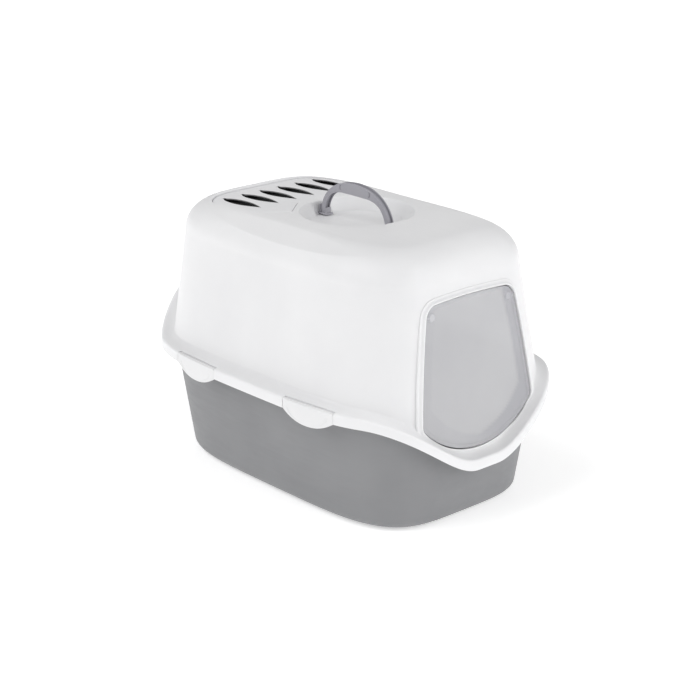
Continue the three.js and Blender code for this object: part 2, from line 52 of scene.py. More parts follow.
AROUND = 320
WALL = 3.0
RIM = dict(half=199.0, length=280.0, power=3.72, height=162.5, dip=79.5, front_end=0.86,
           front_span=0.77, rise=67.0, rear_start=2.31, rear_span=0.5)
SKIRT = 16.0
TRAY = dict(half=150.0, length=240.0, power=4.2, draft=0.13, foot=2.5, round=12.0,
            flange_top=9.8, flange=3.0, inset=7.2)
FOOT = dict(x=92.0, y=182.0, half_x=20.0, half_y=15.0, round=8.0)
HOOD = dict(power=4.5, side=174.0, rear=256.7, front=251.2, base=190.0, side_draft=0.17,
            rear_draft=0.045, front_draft=0.1266, shoulder=338.0, shoulder_side=46.0,
            shoulder_front=44.0, shoulder_rear=54.0, rise=47.5, crown=1.5, flat=4.0)
LENS = dict(level=math.radians(34), half=math.radians(21), y=-2.0, length=174.0, from_x=100.0,
            fade=30.0)
DISH = dict(y=-14.0, floor=368.0, crown=0.6)
# The dish's section: steep at the handle's feet, gentle elsewhere.
DISH_STEEP = dict(angle=math.radians(82), lip=2.6, lip_start=80.5, hollow=4.0, hollow_start=72.5)
DISH_GENTLE = dict(angle=math.radians(56), lip=3.0, lip_start=83.0, hollow=4.5, hollow_start=67.5)
DOOR = dict(y=-255.6, z=155.0, lean=math.atan(HOOD["front_draft"]), top=81.0, bottom=105.0,
            height=161.0, arch=3.6, bow=2.2,
            sag=48.0, top_round=20.0, bottom_round=16.0, hinge=146.0, gap=1.45)
PANE = dict(side=17.0, below=15.0, widening=0.18, step=3.0, depth=1.5)
CLIP = dict(rear=(65.0, 157.0), front=(-175.0, -83.0), inset=3.0, axis=12.8, barrel=2.8,
            drop=14.2, notch=6.6, thickness=3.0)
AXIS = 376.0
HANDLE_OUTER = [(70, 0), (69.2, 8), (64.5, 19), (56, 30), (45, 38.5), (34, 44), (20, 47.8), (0, 49.5)]
HANDLE_INNER = [(62, 0), (61.6, 6), (58.4, 14), (52, 23), (42.5, 29), (31, 32), (16, 32.6), (0, 32.6)]
MARK = dict(u=29.5, v=39.5, shift=4.0, radius=5.0, width=0.9, reach=3.6, back=2.0, side=4.0, depth=1.1)
COVER = dict(corners=[(30, 77, 16), (72, 42, 8), (113, 80, 22), (113, 202, 48)],
             tilt=math.radians(-1.3), pivot=40.0, thickness=2.6, gap=0.4, ledge=4.0)
SLOT = dict(count=6, front_pitch=33.6, rear_pitch=33.9, front=95.0, rear=180.0, half=10.6, stem=2.6)
POCKET = dict(floor=364.0, thickness=2.5)
TOP = HOOD["shoulder"] + HOOD["rise"] + HOOD["crown"]
CUT_TOP = 430.0  # cutters for the top reach up to here
ABOVE_ALL = 600.0  # rays down onto the hood start here
TUB_SINK = 1.4  # how deep the vent tub's upper face lies inside the shell


def smooth(t):
    u = np.clip(t, 0.0, 1.0)
    return u * u * (3 - 2 * u)


def mix(a, b, t):
    return a + (b - a) * t


# ------------------------------------------------------------------ materials

def new_material(name, **sockets):
    mat = bpy.data.materials.new(name)
    mat.use_nodes = True
    shader = mat.node_tree.nodes["Principled BSDF"]
    for key, value in sockets.items():
        shader.inputs[key.replace("_", " ")].default_value = value
    shader.inputs["Subsurface Radius"].default_value = (1.0, 1.0, 1.0)
    return mat, mat.node_tree.nodes, mat.node_tree.links, shader


def noise(nodes, links, scale, detail=2.0, stretch=None, roughness=0.5):
    """A noise texture in metres of the object's own space."""
    coords = nodes.new("ShaderNodeTexCoord")
    source = coords.outputs["Object"]
    if stretch:
        mapping = nodes.new("ShaderNodeMapping")
        mapping.inputs["Scale"].default_value = stretch
        links.new(source, mapping.inputs["Vector"])
        source = mapping.outputs["Vector"]
    tex = nodes.new("ShaderNodeTexNoise")
    tex.inputs["Scale"].default_value = scale
    tex.inputs["Detail"].default_value = detail
    tex.inputs["Roughness"].default_value = roughness
    links.new(source, tex.inputs["Vector"])
    return tex.outputs["Fac"]


def ramp(nodes, links, value, low, high, start=0.3, end=0.7):
    """Maps a value to between two numbers or two colours."""
    if isinstance(low, tuple):
        node = nodes.new("ShaderNodeValToRGB")
        first, last = node.color_ramp.elements
        first.position, last.position = start, end
        first.color, last.color = (*low, 1), (*high, 1)
        links.new(value, node.inputs["Fac"])
        return node.outputs["Color"]
    node = nodes.new("ShaderNodeMapRange")
    for key, number in (("From Min", start), ("From Max", end), ("To Min", low), ("To Max", high)):
        node.inputs[key].default_value = number
    links.new(value, node.inputs["Value"])
    return node.outputs["Result"]


def bump(nodes, links, height, distance, strength=1.0, below=None):
    node = nodes.new("ShaderNodeBump")
    node.inputs["Distance"].default_value = distance
    node.inputs["Strength"].default_value = strength
    links.new(height, node.inputs["Height"])
    if below:
        links.new(below, node.inputs["Normal"])
    return node.outputs["Normal"]


def moulded_plastic(name, dark, light, rough, grain=0.00003, **sockets):
    """Satin injection-moulded plastic: spark-eroded grain, cloudy gloss, faint rubbed marks."""
    mat, nodes, links, shader = new_material(name, **sockets)
    cloud = noise(nodes, links, 9.0, 3.0)
    links.new(ramp(nodes, links, cloud, dark, light), shader.inputs["Base Color"])
    rubbed = noise(nodes, links, 60.0, 4.0, stretch=(1.0, 0.25, 1.6), roughness=0.65)
    links.new(ramp(nodes, links, rubbed, rough[0], rough[1], 0.35, 0.65), shader.inputs["Roughness"])
    fine = bump(nodes, links, noise(nodes, links, 1500.0, 1.0), grain)
    flow = bump(nodes, links, noise(nodes, links, 28.0, 1.0), 0.0004, 0.5, fine)
    links.new(flow, shader.inputs["Normal"])
    return mat


white = moulded_plastic("hood_white", (0.765, 0.765, 0.775), (0.80, 0.80, 0.808), (0.34, 0.46),
                        Subsurface_Weight=0.6, Subsurface_Scale=0.004)
clip_white = moulded_plastic("clip_white", (0.735, 0.735, 0.745), (0.77, 0.77, 0.775),
                             (0.28, 0.40), 0.00002)
cover_white = moulded_plastic("cover_white", (0.765, 0.765, 0.78), (0.80, 0.80, 0.81), (0.34, 0.46))
tray_grey = moulded_plastic("tray_grey", (0.212, 0.214, 0.222), (0.238, 0.24, 0.248),
                            (0.42, 0.56), 0.00005)
handle_grey = moulded_plastic("handle_grey", (0.335, 0.33, 0.365), (0.37, 0.365, 0.40),
                              (0.34, 0.46), 0.00004)
smoky = moulded_plastic("flap_smoky", (0.80, 0.80, 0.825), (0.85, 0.85, 0.87), (0.12, 0.2), 0.00001,
                        Alpha=0.42)


def shaded(mat, node_type, output, dark, light, start, end, **settings):
    """Multiplies a material's colour by a ramp over another node's value."""
    nodes, links = mat.node_tree.nodes, mat.node_tree.links
    shader = nodes["Principled BSDF"]
    base = shader.inputs["Base Color"].links[0].from_socket
    source = nodes.new(node_type)
    for key, value in settings.items():
        setattr(source, key, value)
    multiply = nodes.new("ShaderNodeMix")
    multiply.data_type, multiply.blend_type = "RGBA", "MULTIPLY"
    multiply.inputs["Factor"].default_value = 1.0
    first, second = (s for s in multiply.inputs if s.type == "RGBA")
    links.new(base, first)
    links.new(ramp(nodes, links, source.outputs[output], dark, light, start, end), second)
    links.new(next(s for s in multiply.outputs if s.type == "RGBA"), shader.inputs["Base Color"])


# Painted shade: the flap's border is darkened, most on the right and below, to stand for the shaded
# inside walls of the box seen through the pane.
shaded(smoky, "ShaderNodeAttribute", "Fac", (1.0, 1.0, 1.0), (0.84, 0.84, 0.86), 0.0, 1.0,
       attribute_name="border")
# Painted shade: the handle's hollows and creases are darkened by pointiness, as shade would fall there.
shaded(handle_grey, "ShaderNodeNewGeometry", "Pointiness", (0.35, 0.35, 0.36), (1.0, 1.0, 1.0),
       0.43, 0.50)


def fibre_material():
    """Black carbon-filled fibre: short matted strands with a few brighter hairs."""
    mat, nodes, links, shader = new_material("filter_fibre")
    strands = noise(nodes, links, 420.0, 6.0, stretch=(1.0, 3.5, 2.0), roughness=0.75)
    cross = noise(nodes, links, 360.0, 6.0, stretch=(3.5, 1.0, 2.0), roughness=0.75)
    links.new(ramp(nodes, links, strands, (0.006, 0.006, 0.007), (0.04, 0.04, 0.043), 0.42, 0.72),
              shader.inputs["Base Color"])
    links.new(ramp(nodes, links, cross, 0.8, 1.0), shader.inputs["Roughness"])
    low = bump(nodes, links, strands, 0.0012)
    links.new(bump(nodes, links, cross, 0.0010, 0.8, low), shader.inputs["Normal"])
    return mat


fibre = fibre_material()

# ------------------------------------------------------------------ mesh helpers


def mesh_object(name, data, material, sharp=None):
    """A smooth-shaded object from (points in millimetres, faces)."""
    points, faces = data
    mesh = bpy.data.meshes.new(name)
    mesh.from_pydata((np.asarray(points, float) * MM).tolist(), [], [tuple(map(int, f)) for f in faces])
    mesh.validate()
    if material:
        mesh.materials.append(material)
    mesh.shade_smooth()
    if sharp is not None:
        mesh.set_sharp_from_angle(angle=math.radians(sharp))
    obj = bpy.data.objects.new(name, mesh)
    bpy.context.scene.collection.objects.link(obj)
    return obj


def outward(points, faces):
    """Turns the faces round if the closed mesh is inside out."""
    p = np.asarray(points, float)
    total = 0.0
    for f in faces:
        a = p[f[0]]
        for i in range(1, len(f) - 1):
            total += float(np.dot(a, np.cross(p[f[i]], p[f[i + 1]])))
    return points, (faces if total > 0 else [tuple(reversed(f)) for f in faces])


def loft(rows, start=None, end=None, closed_rows=False):
    """Points and faces of a skin over rows of closed rings; start and end are pole points."""
    n = len(rows[0])
    points = [tuple(p) for row in rows for p in row]
    faces = []
    spans = len(rows) if closed_rows else len(rows) - 1
    for r in range(spans):
        a, b = r * n, ((r + 1) % len(rows)) * n
        for i in range(n):
            j = (i + 1) % n
            faces.append((a + i, a + j, b + j, b + i))
    if start is not None:
        points.append(tuple(start))
        faces += [(len(points) - 1, (i + 1) % n, i) for i in range(n)]
    if end is not None:
        points.append(tuple(end))
        base = (len(rows) - 1) * n
        faces += [(len(points) - 1, base + i, base + (i + 1) % n) for i in range(n)]
    return outward(points, faces)


def joined(parts):
    """Merges (points, faces) pairs into one."""
    points, faces = [], []
    for p, f in parts:
        shift = len(points)
        points += [tuple(q) for q in p]
        faces += [tuple(i + shift for i in face) for face in f]
    return points, faces


def boolean(obj, operation, data):
    """Adds a closed solid to an object, or takes it away."""
    other = mesh_object("cutter", data, obj.data.materials[0])
    mod = obj.modifiers.new("boolean", "BOOLEAN")
    mod.operation, mod.solver, mod.object = operation, "EXACT", other
    graph = bpy.context.evaluated_depsgraph_get()
    mesh = bpy.data.meshes.new_from_object(obj.evaluated_get(graph))
    old = obj.data
    obj.modifiers.clear()
    obj.data = mesh
    bpy.data.meshes.remove(old)
    mesh.name = obj.name
    spare = other.data
    bpy.data.objects.remove(other)
    bpy.data.meshes.remove(spare)


def tidy_edges(obj, angle):
    """Merges doubled points, then marks only real corners as sharp."""
    bm = bmesh.new()
    bm.from_mesh(obj.data)
    bmesh.ops.remove_doubles(bm, verts=bm.verts, dist=0.01 * MM)
    bmesh.ops.dissolve_degenerate(bm, edges=bm.edges, dist=0.01 * MM)
    bm.to_mesh(obj.data)
    bm.free()
    obj.data.shade_smooth()
    obj.data.set_sharp_from_angle(angle=math.radians(angle))


def offset_loop(loop, distance):
    """Moves a counter-clockwise loop outward."""
    p = np.asarray(loop, float)
    before = p - np.roll(p, 1, 0)
    after = np.roll(p, -1, 0) - p
    na = np.stack([before[:, 1], -before[:, 0]], 1)
    nb = np.stack([after[:, 1], -after[:, 0]], 1)
    na /= np.linalg.norm(na, axis=1)[:, None]
    nb /= np.linalg.norm(nb, axis=1)[:, None]
    m = na + nb
    return p + m * (2 * distance / (m ** 2).sum(1))[:, None]


def round_loop(corners, steps=10):
    """Rounds the corners (x, y, radius) of a loop."""
    loop = []
    count = len(corners)
    for i, (x, y, radius) in enumerate(corners):
        here = Vector((x, y))
        if not radius:
            loop.append((x, y))
            continue
        back = (Vector(corners[i - 1][:2]) - here).normalized()
        ahead = (Vector(corners[(i + 1) % count][:2]) - here).normalized()
        half = back.angle(ahead) / 2
        centre = here + (back + ahead).normalized() * (radius / math.sin(half))
        a = here + back * (radius / math.tan(half)) - centre
        b = here + ahead * (radius / math.tan(half)) - centre
        start = math.atan2(a.y, a.x)
        turn = math.atan2(b.y, b.x) - start
        turn = math.atan2(math.sin(turn), math.cos(turn))
        for s in range(steps + 1):
            t = start + turn * s / steps
            loop.append((centre.x + radius * math.cos(t), centre.y + radius * math.sin(t)))
    return loop


def resample(loop, step):
    """Adds points along the long edges of a loop."""
    out = []
    for i, a in enumerate(loop):
        b = loop[(i + 1) % len(loop)]
        n = max(1, int(math.ceil(math.dist(a, b) / step)))
        out += [(mix(a[0], b[0], k / n), mix(a[1], b[1], k / n)) for k in range(n)]
    return np.array(out)


def inside(points, loops):
    """Which points lie inside the first loop and outside the others."""
    odd = np.zeros(len(points), bool)
    x, y = points[:, 0][:, None], points[:, 1][:, None]
    for loop in loops:
        a = np.asarray(loop)
        b = np.roll(a, -1, 0)
        crosses = (a[:, 1] > y) != (b[:, 1] > y)
        with np.errstate(divide="ignore", invalid="ignore"):
            at = a[:, 0] + (y - a[:, 1]) * (b[:, 0] - a[:, 0]) / (b[:, 1] - a[:, 1])
        odd ^= ((crosses & (x < at)).sum(1) % 2).astype(bool)
    return odd


def cap(points, loops, w, place, grid, up):
    """Fills between loops of (first index, 2-D points), with a grid of extra points inside."""
    # Blender's vectors hold single precision, so the inside test uses the same numbers.
    flat = [np.asarray(l).astype(np.float32).astype(float) for _, l in loops]
    uv = np.concatenate(flat)
    index = np.concatenate([first + np.arange(len(l)) for first, l in loops])
    edges, shift = [], 0
    for l in flat:
        n = len(l)
        edges += [(shift + i, shift + (i + 1) % n) for i in range(n)]
        shift += n
    if grid:
        low, high = flat[0].min(0), flat[0].max(0)
        gx, gy = np.meshgrid(np.arange(low[0] + grid / 2, high[0], grid),
                             np.arange(low[1] + grid / 2, high[1], grid))
        extra = np.stack([gx.ravel(), gy.ravel()], 1)
        extra = extra[inside(extra, flat)]
        near = np.ones(len(extra), bool)
        for l in flat:
            for s in range(0, len(extra), 2000):
                d = np.linalg.norm(extra[s:s + 2000, None] - l[None], axis=2).min(1)
                near[s:s + 2000] &= d > grid * 0.55
        extra = extra[near]
        index = np.concatenate([index, len(points) + np.arange(len(extra))])
        points += [tuple(p) for p in place(extra[:, 0], extra[:, 1], np.full(len(extra), w))]
        uv = np.concatenate([uv, extra])
    verts, _, tris, origin, _, _ = delaunay_2d_cdt(
        [Vector(p) for p in uv.tolist()], edges, [], 0, 1e-6, True)
    verts = np.array([v[:] for v in verts])
    tris = np.array(tris)
    tris = tris[inside(verts[tris].mean(1), flat)]
    source = np.array([index[o[0]] for o in origin])
    faces = []
    for a, b, c in tris:
        pa, pb, pc = verts[a], verts[b], verts[c]
        turn = (pb[0] - pa[0]) * (pc[1] - pa[1]) - (pb[1] - pa[1]) * (pc[0] - pa[0])
        f = (source[a], source[b], source[c])
        faces.append(f if (turn > 0) == up else f[::-1])
    return faces


def plate(outer, holes, profile, place, grid_front=None, grid_back=None, hole_profile=None):
    """A shaped plate. profile lists (inset, w) rows from the front face's edge to the back's."""
    points, faces, fronts, backs = [], [], [], []
    for k, loop in enumerate([outer, *holes]):
        n = len(loop)
        sign = -1 if k == 0 else 1
        shape = profile if k == 0 or hole_profile is None else hole_profile
        for r, (inset, w) in enumerate(shape):
            row = offset_loop(loop, sign * inset) if inset else np.asarray(loop, float)
            first = len(points)
            points += [tuple(p) for p in place(row[:, 0], row[:, 1], np.full(n, w))]
            if r == 0:
                fronts.append((first, row))
            else:
                for i in range(n):
                    j = (i + 1) % n
                    quad = (first - n + j, first - n + i, first + i, first + j)
                    faces.append(quad if k == 0 else quad[::-1])
            if r == len(shape) - 1:
                backs.append((first, row))
    faces += cap(points, fronts, profile[0][1], place, grid_front, True)
    faces += cap(points, backs, profile[-1][1], place, grid_back, False)
    return outward(points, faces)


def edge_profile(thickness, front, back=None, steps=4, top=0.0):
    """Rows of a plate's edge, rounded by the two radii."""
    back = front if back is None else back
    rows = []
    for k in range(steps + 1):
        a = k / steps * math.pi / 2
        rows.append((front * (1 - math.sin(a)), top - front * (1 - math.cos(a))))
    for k in range(steps + 1):
        a = (1 - k / steps) * math.pi / 2
        rows.append((back * (1 - math.sin(a)), top - thickness + back * (1 - math.cos(a))))
    return rows


def straight(x, y, z):
    return np.stack([x, y, z], 1)


def turned(profile, centre, axis_a, axis_b, sides=40):
    """A solid of revolution; profile lists (radius, distance along axis_a x axis_b)."""
    a, b = np.array(axis_a, float), np.array(axis_b, float)
    c = np.cross(a, b)
    t = np.arange(sides) / sides * TAU
    rows = []
    for radius, along in profile:
        ring = np.cos(t)[:, None] * a + np.sin(t)[:, None] * b
        rows.append(np.array(centre) + radius * ring + along * c)
    return loft(rows, np.array(centre) + profile[0][1] * c, np.array(centre) + profile[-1][1] * c)


# ------------------------------------------------------------------ rings around the box

angles = (np.arange(AROUND) + 0.5) / AROUND * TAU
COS, SIN = np.cos(angles), np.sin(angles)


def superellipse(half, front, rear, power):
    k = (np.abs(COS) ** power + np.abs(SIN) ** power) ** (-1 / power)
    return np.stack([half * COS * k, np.where(SIN < 0, front, rear) * SIN * k], 1)


def rim_height():
    """Height of the rim round the box: dipped at the door, level at the sides, high at the rear."""
    from_front = np.abs((angles + 1.5 * math.pi) % TAU - math.pi)
    dip = RIM["dip"] * smooth((RIM["front_end"] - from_front) / RIM["front_span"])
    rise = RIM["rise"] * smooth((from_front - RIM["rear_start"]) / RIM["rear_span"])
    return RIM["height"] - dip + rise


rim_z = rim_height()


def at_height(plan, z):
    return np.column_stack([plan, np.broadcast_to(z, (len(plan),))])


def rim_row(inset, above):
    length = RIM["length"] - inset
    return at_height(superellipse(RIM["half"] - inset, length, length, RIM["power"]), rim_z + above)


def tray_row(z, inset):
    z = np.broadcast_to(z, angles.shape)
    lean = TRAY["draft"] * z - inset
    length = TRAY["length"] + lean
    plan = superellipse(TRAY["half"] + lean, length, length, TRAY["power"])
    return at_height(plan, z)


def hood_plan(half, front, rear):
    """A plan section with the front flattened to the door panel."""
    plan = superellipse(half, front, rear, HOOD["power"])
    soft = 3.0
    start = front - HOOD["flat"] - soft
    over = np.maximum(-plan[:, 1] - start, 0)
    y = np.where(over > 0, -(start + soft * (1 - np.exp(-over / soft))), plan[:, 1])
    return np.stack([plan[:, 0], y], 1)


def wall_row(z, inset):
    """A section of the hood's leaning walls."""
    up = z - HOOD["base"]
    half = HOOD["side"] - HOOD["side_draft"] * up - inset
    front = HOOD["front"] + HOOD["flat"] - HOOD["front_draft"] * up - inset
    rear = HOOD["rear"] - HOOD["rear_draft"] * up - inset
    return at_height(hood_plan(half, front, rear), z)


def shoulder_rows(inset, steps):
    """The shoulder, with a long lens-shaped facet along both sides; inset is the shell's depth."""
    wall = wall_row(np.full(AROUND, HOOD["shoulder"]), 0)[:, :2]
    up = HOOD["shoulder"] - HOOD["base"]
    edge = hood_plan(
        HOOD["side"] - HOOD["side_draft"] * up - HOOD["shoulder_side"],
        HOOD["front"] + HOOD["flat"] - HOOD["front_draft"] * up - HOOD["shoulder_front"],
        HOOD["rear"] - HOOD["rear_draft"] * up - HOOD["shoulder_rear"],
    )
    centre = LENS["level"]
    lens = np.clip(1 - ((wall[:, 1] - LENS["y"]) / LENS["length"]) ** 2, 0, 1) ** 0.8
    half = LENS["half"] * lens * smooth((np.abs(wall[:, 0]) - LENS["from_x"]) / LENS["fade"])
    span = wall - edge
    reach = np.linalg.norm(span, axis=1)[:, None]
    out_dir = span / reach
    bands = ((math.pi / 2, centre + half), (centre + half, centre - half), (centre - half, 0 * half))
    rows = []
    for a, b in bands:
        for k in range(steps):
            turn = mix(a, b, 0.5 - 0.5 * math.cos(math.pi * k / steps))
            flat = np.abs(turn - centre) < half - 1e-9
            scale = np.where(flat, np.cos(half) / np.cos(turn - centre), 1.0)
            level = np.where(flat, centre, turn)
            plan = edge + span * (np.sin(turn) * scale)[:, None]
            plan = plan - out_dir * (inset * np.sin(level))[:, None]
            rows.append(at_height(plan, HOOD["shoulder"] + HOOD["rise"] * np.cos(turn) * scale
                                  - inset * np.cos(level)))
    rows.append(at_height(edge, HOOD["shoulder"] + HOOD["rise"] - inset))
    return rows


def dish_row(radius, z):
    return np.stack([radius * COS, DISH["y"] + radius * SIN, np.full(AROUND, z)], 1)


def dish_rows(thick):
    """From the lip to the floor: a broad hollow slope, with steep pockets for the handle's feet."""
    from_rear = np.abs((angles + math.pi / 2) % TAU - math.pi)
    to_foot = math.pi / 2 - np.abs(from_rear - math.pi / 2)
    pocket = 1 - smooth((to_foot - math.radians(10)) / math.radians(3.5))
    made = []

    def add(section):
        """section lists (radius, height) at a pocket and away from the pockets."""
        (near_r, near_z), (far_r, far_z) = section
        r = mix(far_r, near_r, pocket)
        made.append(np.stack([r * COS, DISH["y"] + r * SIN, mix(far_z, near_z, pocket)], 1))

    steps = 8
    for k in range(steps + 1):
        lip = []
        for shape in (DISH_STEEP, DISH_GENTLE):
            a = shape["angle"] * k / steps
            depth = shape["lip"] - 0.8 * thick
            lip.append((shape["lip_start"] - depth * math.sin(a),
                        TOP - shape["lip"] + depth * math.cos(a) - 0.2 * thick))
        add(lip)
    for k in range(steps + 1):
        hollow = []
        for shape in (DISH_STEEP, DISH_GENTLE):
            a = shape["angle"] * (1 - k / steps)
            depth = shape["hollow"] + thick
            hollow.append((shape["hollow_start"] + depth * math.sin(a),
                           DISH["floor"] + shape["hollow"] - depth * math.cos(a)))
        add(hollow)
    for r in (50, 34, 16):
        made.append(dish_row(r, DISH["floor"] - thick + DISH["crown"] * (1 - (r / 60) ** 2)))
    return made


def top_rows(edge, lip, drop):
    """The crowned top, between the shoulder's edge and the dish's lip."""
    rows = []
    for t in (0.15, 0.35, 0.55, 0.75, 0.92):
        row = edge + (lip - edge) * t
        row[:, 2] = mix(edge[:, 2], TOP - drop, math.sin(t * math.pi / 2))
        rows.append(row)
    return rows


def shelf_rows(count):
    """From the skirt's top edge to the foot of the wall, with a hollow fillet at the wall."""
    foot = wall_row(rim_z + SKIRT + 8.5, 0)
    edge = rim_row(3.4, 0)
    rows = []
    for k in range(1, count + 1):
        s = math.sin(math.pi / 2 * k / count)
        rise = 1.0 * s + 7.5 * (1 - math.sqrt(max(1 - s * s, 0)))
        rows.append(at_height(mix(edge[:, :2], foot[:, :2], s), rim_z + SKIRT + rise))
    return rows


def hood_shell():
    """The hood's skin, from the dish down over the skirt and back up inside."""
    outer = [rim_row(0.9, 0.15), rim_row(0.3, 0.55), rim_row(0, 1.4), rim_row(0, 5), rim_row(0, 9)]
    for k in range(7):
        a = k / 6 * math.pi / 2
        outer.append(rim_row(3.4 * (1 - math.cos(a)), SKIRT - 3.4 + 3.4 * math.sin(a)))
    outer += shelf_rows(12)
    foot = rim_z + SKIRT + 8.5
    outer += [wall_row(mix(foot, HOOD["shoulder"], t), 0) for t in np.linspace(0.05, 0.96, 14)]
    outer += shoulder_rows(0, 11)
    dish = dish_rows(0)
    outer += top_rows(outer[-1], dish[0], 0) + dish
    inner = [rim_row(2.1, 0.0), rim_row(WALL, 0.8), rim_row(WALL, 9), rim_row(9, SKIRT - 2.8)]
    inner.append(wall_row(rim_z + SKIRT - 1.4, -2))
    foot = rim_z + SKIRT + 5.5
    inner += [wall_row(mix(foot, HOOD["shoulder"], t), WALL) for t in (0, 0.2, 0.4, 0.6, 0.8, 0.97)]
    inner += shoulder_rows(WALL, 4)
    under = dish_rows(WALL)
    inner += top_rows(inner[-1], under[0], WALL) + under
    rows = outer[::-1] + inner
    top = (0, DISH["y"], DISH["floor"] + DISH["crown"])
    return loft(rows, top, (top[0], top[1], top[2] - WALL))


# ------------------------------------------------------------------ door opening, bead and flap

# The radius of the opening's curved lower edge.
LOWER = (DOOR["bottom"] ** 2 + DOOR["sag"] ** 2) / (2 * DOOR["sag"])


def half_width(t):
    """Half the opening's width, at t from 0 at its lower corners to 1 at its upper ones."""
    return mix(DOOR["bottom"], DOOR["top"], t) + DOOR["bow"] * 4 * t * (1 - t)


def door_loop(step=2.0):
    swing = math.asin(DOOR["bottom"] / LOWER)
    corners = []
    steps = 60
    for i in range(steps + 1):
        a = mix(-swing, swing, i / steps)
        ends = i in (0, steps)
        if 0 < i < 5 or steps - 5 < i < steps:
            continue
        corners.append((LOWER * math.sin(a), LOWER - DOOR["sag"] - LOWER * math.cos(a),
                        DOOR["bottom_round"] if ends else 0))
    # The sides bow out and the top is arched, both by a few millimetres.
    side = []
    for t in np.linspace(0.12, 0.84, 19):
        side.append((half_width(t), DOOR["height"] * t, 0))
    corners += side + [(DOOR["top"], DOOR["height"], DOOR["top_round"])]
    for t in np.linspace(0.68, -0.68, 19):
        corners.append((DOOR["top"] * t, DOOR["height"] + DOOR["arch"] * (1 - t * t), 0))
    corners.append((-DOOR["top"], DOOR["height"], DOOR["top_round"]))
    corners += [(-x, v, r) for x, v, r in side[::-1]]
    return resample(round_loop(corners, 14), step)


def on_door(x, v, w):
    """From the door panel's axes (across, up the panel, outward) to the box."""
    s, c = math.sin(DOOR["lean"]), math.cos(DOOR["lean"])
    return np.stack([x + 0 * v, DOOR["y"] + v * s - w * c, DOOR["z"] + v * c + w * s], 1)


def door_bead():
    """The raised edge round the opening: proud at the sides and top, level with the lip below."""
    loop = door_loop()
    low = smooth((12 - loop[:, 1]) / 36)
    # (outward from the opening, outward from the panel); the cutter trims what reaches inside.
    shape = [(8.4, -1.6), (8.1, 0.0), (7.7, 0.5), (6.8, 0.62), (5.6, 0.7), (4.5, 0.95),
             (3.6, 1.5), (2.9, 2.3), (2.3, 3.1), (1.7, 3.5), (1.1, 3.6), (0.5, 3.35), (0.1, 2.6),
             (-0.7, 1.4), (-0.7, -1.5), (-0.7, -4.5), (2, -4.8), (8, -4.4)]
    rows = []
    for out, w in shape:
        row = offset_loop(loop, out) if out else loop
        drop = np.where(w > -1, w - mix(w, min(w, 0.2) - 0.25 * out * 0.35, low), 0)
        rows.append(on_door(row[:, 0], row[:, 1], w - drop))
    return loft(rows, closed_rows=True)


def door_cutter():
    loop = door_loop()
    return plate(loop, [], [(0, 30), (0, -30)], on_door)


def flap_hollow(x, v):
    """How deep the flap's field is moulded in, from 0 at its border to 1 in the middle."""
    side = half_width(np.clip(v / DOOR["height"], 0, 1)) - np.abs(x)
    below = LOWER - np.hypot(x, v - (LOWER - DOOR["sag"]))
    # The border has an even width at the sides, and widens below towards the lower corners.
    side_field = (side - PANE["side"]) / PANE["step"]
    low_field = (below - PANE["below"] - PANE["widening"] * np.abs(x)) / PANE["step"]
    depth = smooth(np.minimum(side_field, low_field))
    # The moulding, and the painted shade on the flap's border with it, fade out towards the left side.
    return 1 - (1 - depth) * mix(0.22, 1.0, smooth((x + 45) / 95))


def store_painted_shade(obj):
    """Stores how much each point of the flap takes the painted shade along its border."""
    co = np.array([v.co for v in obj.data.vertices]) / MM
    s, c = math.sin(DOOR["lean"]), math.cos(DOOR["lean"])
    up = (co[:, 1] - DOOR["y"]) * s + (co[:, 2] - DOOR["z"]) * c
    field = obj.data.attributes.new("border", "FLOAT", "POINT")
    field.data.foreach_set("value", 1.0 - flap_hollow(co[:, 0], up))


def door_flap():
    """The see-through pane, with a boss and a hinge pin at each upper corner."""
    edge = offset_loop(door_loop(), -DOOR["gap"])
    profile = [(6.2, 0.5), (5.7, 0.62), (5.2, 0.95), (4.8, 1.1), (3, 1.15), (1.2, 1.1),
               (0.5, 0.9), (0.12, 0.5), (0, -0.1), (0, -1.6), (0.15, -2.2), (0.6, -2.55),
               (1.2, -2.6), (4.8, -2.6), (5.6, -2.05), (6.0, -2.0)]

    def place(x, v, w):
        # The front and back faces sink together, so the pane stays one thickness.
        return on_door(x, v, w - PANE["depth"] * flap_hollow(x, v))

    parts = [plate(edge, [], profile, place, 3.0, 3.0)]
    s, c = math.sin(DOOR["lean"]), math.cos(DOOR["lean"])
    across, up = np.array([1.0, 0, 0]), np.array([0, s, c])
    for side in (-1, 1):
        centre = on_door(np.array([side * 72.0]), np.array([DOOR["hinge"]]), np.array([-0.75]))[0]
        boss = [(2.4, 2.9), (3.6, 2.9), (4.6, 2.75), (5.3, 2.3), (5.7, 1.5), (6.3, 1.1),
                (6.3, -1.3), (5.7, -1.7), (5.3, -2.4), (4.4, -2.75)]
        parts.append(turned(boss, centre, across, up))
        pin = [(1.7, -1.0), (2.0, 0), (2.0, 13.2), (1.7, 13.7)]
        parts.append(turned(pin, centre, up, np.cross(across * side, up), sides=20))
    return joined(parts)


# ------------------------------------------------------------------ clips on the rim

def rim_x(y):
    """Half the rim's width at y."""
    return RIM["half"] * (1 - abs(y / RIM["length"]) ** RIM["power"]) ** (1 / RIM["power"])


def clip_seat(side, ends):
    """The straight line between a clip's two ends on the rim, and how far the rim bulges past it."""
    first, last = (Vector((side * rim_x(y), y)) for y in ends)
    middle = (first + last) / 2
    chord = last - first
    bulge = rim_x(middle.y) - abs(middle.x)
    turn = math.atan2(chord.y, chord.x) + (math.pi if side < 0 else 0)
    return dict(middle=middle, half=chord.length / 2, bulge=bulge, turn=turn)


def on_seat(seat, x, y, z):
    c, s = math.cos(seat["turn"]), math.sin(seat["turn"])
    return np.stack([seat["middle"].x + x * c - y * s,
                     seat["middle"].y + x * s + y * c,
                     RIM["height"] + z], 1)


